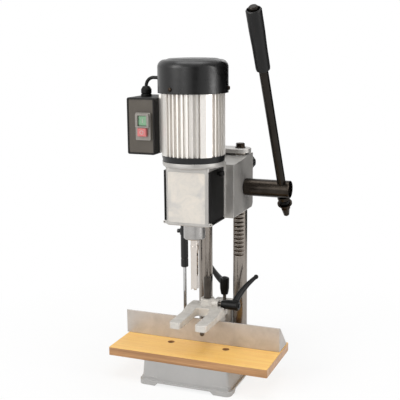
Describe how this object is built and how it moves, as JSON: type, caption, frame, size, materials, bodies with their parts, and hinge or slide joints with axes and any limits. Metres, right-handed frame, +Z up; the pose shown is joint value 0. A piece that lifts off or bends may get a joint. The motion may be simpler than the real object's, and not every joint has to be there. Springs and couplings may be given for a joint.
{
  "type": "benchtop mortiser",
  "caption": "Benchtop mortiser: finned motor and hollow square chisel on a head that slides down columns by rack and lever, over a wooden table with fence and forked hold-down.",
  "frame": {"origin": "centre of the four bench bolts, on the bench surface under the base", "axes": "+Z up along the columns, +X to the operator's right along the fence, +Y away from the operator"},
  "size_m": [0.3595, 0.3153, 0.7793],
  "materials": {
    "grey_paint": "satin",
    "silver_paint": "satin",
    "board_wood": "satin",
    "screw_steel": "satin",
    "polished_steel": "polished",
    "turned_steel": "satin",
    "tool_steel": "satin",
    "fence_steel": "satin",
    "black_steel": "satin",
    "spring_steel": "satin",
    "bare_casting": "rough",
    "black_casting": "satin",
    "black_paint": "gloss",
    "motor_aluminium": "satin",
    "copper_wire": "satin",
    "bush_brass": "satin",
    "box_plastic": "matt",
    "black_plastic": "matt",
    "bezel_plastic": "matt",
    "green_plastic": "satin",
    "red_plastic": "satin",
    "cable_rubber": "matt",
    "grip_rubber": "matt"
  },
  "bodies": {
    "stand": {"base_casting": "grey_paint", "table_board": "board_wood", "table_screws": "screw_steel", "column_left": "polished_steel", "column_right": "polished_steel", "column_set_screws": "black_steel", "tie_plate": "silver_paint", "tie_plate_bolts": "black_steel", "strut_rod": "polished_steel", "guide_block": "bare_casting"},
    "fence": {"fence_plate": "fence_steel", "fence_bar": "bare_casting", "fence_screw": "screw_steel", "hold_down_rod": "black_steel"},
    "hold_down": {"hold_down_fork": "bare_casting"},
    "hold_down_lock": {"hold_down_lever": "black_casting", "hold_down_stud": "screw_steel"},
    "fence_lock": {"fence_lock_lever": "black_casting", "fence_lock_stud": "screw_steel"},
    "head": {"head_casting": "silver_paint", "front_plate": "bare_casting", "chisel_collar": "turned_steel", "collar_screw": "black_steel", "hollow_chisel": "tool_steel", "motor_end_ring": "black_paint", "motor_housing": "motor_aluminium", "motor_cap": "black_paint", "cap_screws": "black_steel", "stator_core": "turned_steel", "stator_windings": "copper_wire", "spindle_bearings": "turned_steel", "switch_box": "box_plastic", "switch_box_lid": "box_plastic", "motor_capacitor": "motor_aluminium", "switch_bezel": "bezel_plastic", "switch_box_bracket": "motor_aluminium", "cable_glands": "black_plastic", "motor_lead": "cable_rubber", "strut_body": "black_paint", "strut_clamp": "black_paint", "column_bushes": "bush_brass", "pinion_bushes": "bush_brass", "cover_hinge_pins": "screw_steel"},
    "spindle": {"motor_rotor": "turned_steel", "motor_shaft": "turned_steel", "cooling_fan": "black_plastic", "drill_chuck": "turned_steel", "auger_bit": "tool_steel"},
    "cover_left": {"chuck_cover_left": "black_plastic"},
    "cover_right": {"chuck_cover_right": "black_plastic"},
    "feed": {"feed_pinion": "turned_steel"},
    "hub": {"feed_hub": "black_steel"},
    "lever": {"lever_bar": "black_steel", "lever_grip": "grip_rubber", "lever_washers": "black_steel", "lever_spring": "spring_steel", "lever_nut": "black_steel"},
    "column_lock": {"column_lock_knob": "black_plastic"},
    "start_button": {"start_button": "green_plastic"},
    "stop_button": {"stop_button": "red_plastic"}
  },
  "joints": [
    {"name": "head_slide", "type": "slide", "parent": "stand", "child": "head", "axis": [0, 0, -1], "range_m": [0, 0.105], "stiffness_N_per_m": 1900, "springref_m": -0.168},
    {"name": "feed_turn", "type": "hinge", "parent": "head", "child": "feed", "pos_m": [0.042, 0.0675, 0.399], "axis": [1, 0, 0], "range_deg": [0, 290]},
    {"name": "lever_index", "type": "hinge", "parent": "feed", "child": "hub", "pos_m": [0.1, 0.0675, 0.399], "axis": [1, 0, 0], "range_deg": [-200, 0]},
    {"name": "lever_pull", "type": "slide", "parent": "hub", "child": "lever", "axis": [0, -0.4894, 0.8721], "range_m": [0, 0.008], "stiffness_N_per_m": 2500, "springref_m": -0.012, "deforming": ["lever_spring"]},
    {"name": "spindle_spin", "type": "hinge", "parent": "head", "child": "spindle", "pos_m": [0, -0.07, 0.5], "axis": [0, 0, 1], "continuous": true},
    {"name": "cover_left_hinge", "type": "hinge", "parent": "head", "child": "cover_left", "pos_m": [-0.0504, -0.069, 0.3496], "axis": [0, -1, 0], "range_deg": [0, 45]},
    {"name": "cover_right_hinge", "type": "hinge", "parent": "head", "child": "cover_right", "pos_m": [0.0504, -0.069, 0.3496], "axis": [0, 1, 0], "range_deg": [0, 45]},
    {"name": "column_lock_turn", "type": "hinge", "parent": "head", "child": "column_lock", "pos_m": [0.04718, 0.12082, 0.443], "axis": [0.2588, 0.9659, 0], "range_deg": [0, 270]},
    {"name": "fence_slide", "type": "slide", "parent": "stand", "child": "fence", "axis": [0, 1, 0], "range_m": [-0.035, 0.045]},
    {"name": "fence_lock_turn", "type": "hinge", "parent": "stand", "child": "fence_lock", "pos_m": [0, 0.113, 0.134], "axis": [0, 0, 1], "range_deg": [-100, 15]},
    {"name": "hold_down_slide", "type": "slide", "parent": "fence", "child": "hold_down", "axis": [0, 0, 1], "range_m": [0, 0.045]},
    {"name": "hold_down_lock_turn", "type": "hinge", "parent": "hold_down", "child": "hold_down_lock", "pos_m": [0.034, 0.0035, 0.1475], "axis": [1, 0, 0], "range_deg": [-35, 60]},
    {"name": "start_button_push", "type": "slide", "parent": "head", "child": "start_button", "axis": [0, 1, 0], "range_m": [0, 0.003], "stiffness_N_per_m": 900, "springref_m": -0.002},
    {"name": "stop_button_push", "type": "slide", "parent": "head", "child": "stop_button", "axis": [0, 1, 0], "range_m": [0, 0.003], "stiffness_N_per_m": 900, "springref_m": -0.002}
  ],
  "couplings": [
    {"joint": "feed_turn", "follows": "head_slide", "rad_per_m": 47.619},
    {"joint": "lever_index", "follows": "head_slide", "rad_per_m": -32.526}
  ]
}
